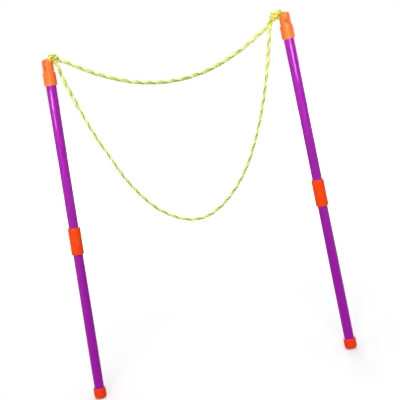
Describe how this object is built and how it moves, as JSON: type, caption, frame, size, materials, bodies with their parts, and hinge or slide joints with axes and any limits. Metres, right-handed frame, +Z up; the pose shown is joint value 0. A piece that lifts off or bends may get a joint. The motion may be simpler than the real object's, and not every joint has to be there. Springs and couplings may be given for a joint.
{
  "type": "bubble wand",
  "caption": "Bubble wand: paired plastic tube wands with moulded end caps, couplers with snap buttons, and round-nosed tips, joined by a twisted cord loop",
  "frame": {"origin": "bottom centre of the left wand's end cap, on the wand's axis", "axes": "+Z up along the wands, +X from the left wand to the right wand, +Y away from the viewer"},
  "size_m": [0.3507, 0.0163, 0.4441],
  "materials": {
    "cap_red": "moulded orange-red plastic, satin gloss",
    "coupler_orange": "moulded orange-red plastic, satin gloss",
    "tip_orange": "moulded light orange plastic, satin gloss",
    "tube_purple": "extruded purple plastic tube, glossy",
    "spring_steel": "bent spring steel strip",
    "cord": "laid cord of yellow-green and cream plies"
  },
  "bodies": {
    "left_wand": {"left_end_cap": "cap_red", "left_lower_tube": "tube_purple", "left_coupler": "coupler_orange", "left_button_spring": "spring_steel", "left_upper_tube": "tube_purple", "left_tip_collar": "tip_orange", "left_tip": "tip_orange", "left_loop": "cord", "left_knot": "cord", "upper_strand": "cord", "lower_strand": "cord"},
    "left_button": {"left_button": "coupler_orange"},
    "right_wand": {"right_end_cap": "cap_red", "right_lower_tube": "tube_purple", "right_coupler": "coupler_orange", "right_button_spring": "spring_steel", "right_upper_tube": "tube_purple", "right_tip_collar": "tip_orange", "right_tip": "tip_orange", "right_loop": "cord", "right_knot": "cord"},
    "right_button": {"right_button": "coupler_orange"}
  },
  "joints": [
    {"name": "wand_spread", "type": "slide", "parent": "left_wand", "child": "right_wand", "axis": [1, 0, 0], "range_m": [-0.15, 0.02], "deforming": ["upper_strand", "lower_strand"]},
    {"name": "left_button_press", "type": "slide", "parent": "left_wand", "child": "left_button", "axis": [-0.4218, 0.9063, 0.0258], "range_m": [0, 0.002], "stiffness_N_per_m": 1500, "springref_m": -0.001, "deforming": ["left_button_spring"]},
    {"name": "right_button_press", "type": "slide", "parent": "right_wand", "child": "right_button", "axis": [-0.3419, -0.9397, -0.0101], "range_m": [0, 0.002], "stiffness_N_per_m": 1500, "springref_m": -0.001, "deforming": ["right_button_spring"]}
  ]
}
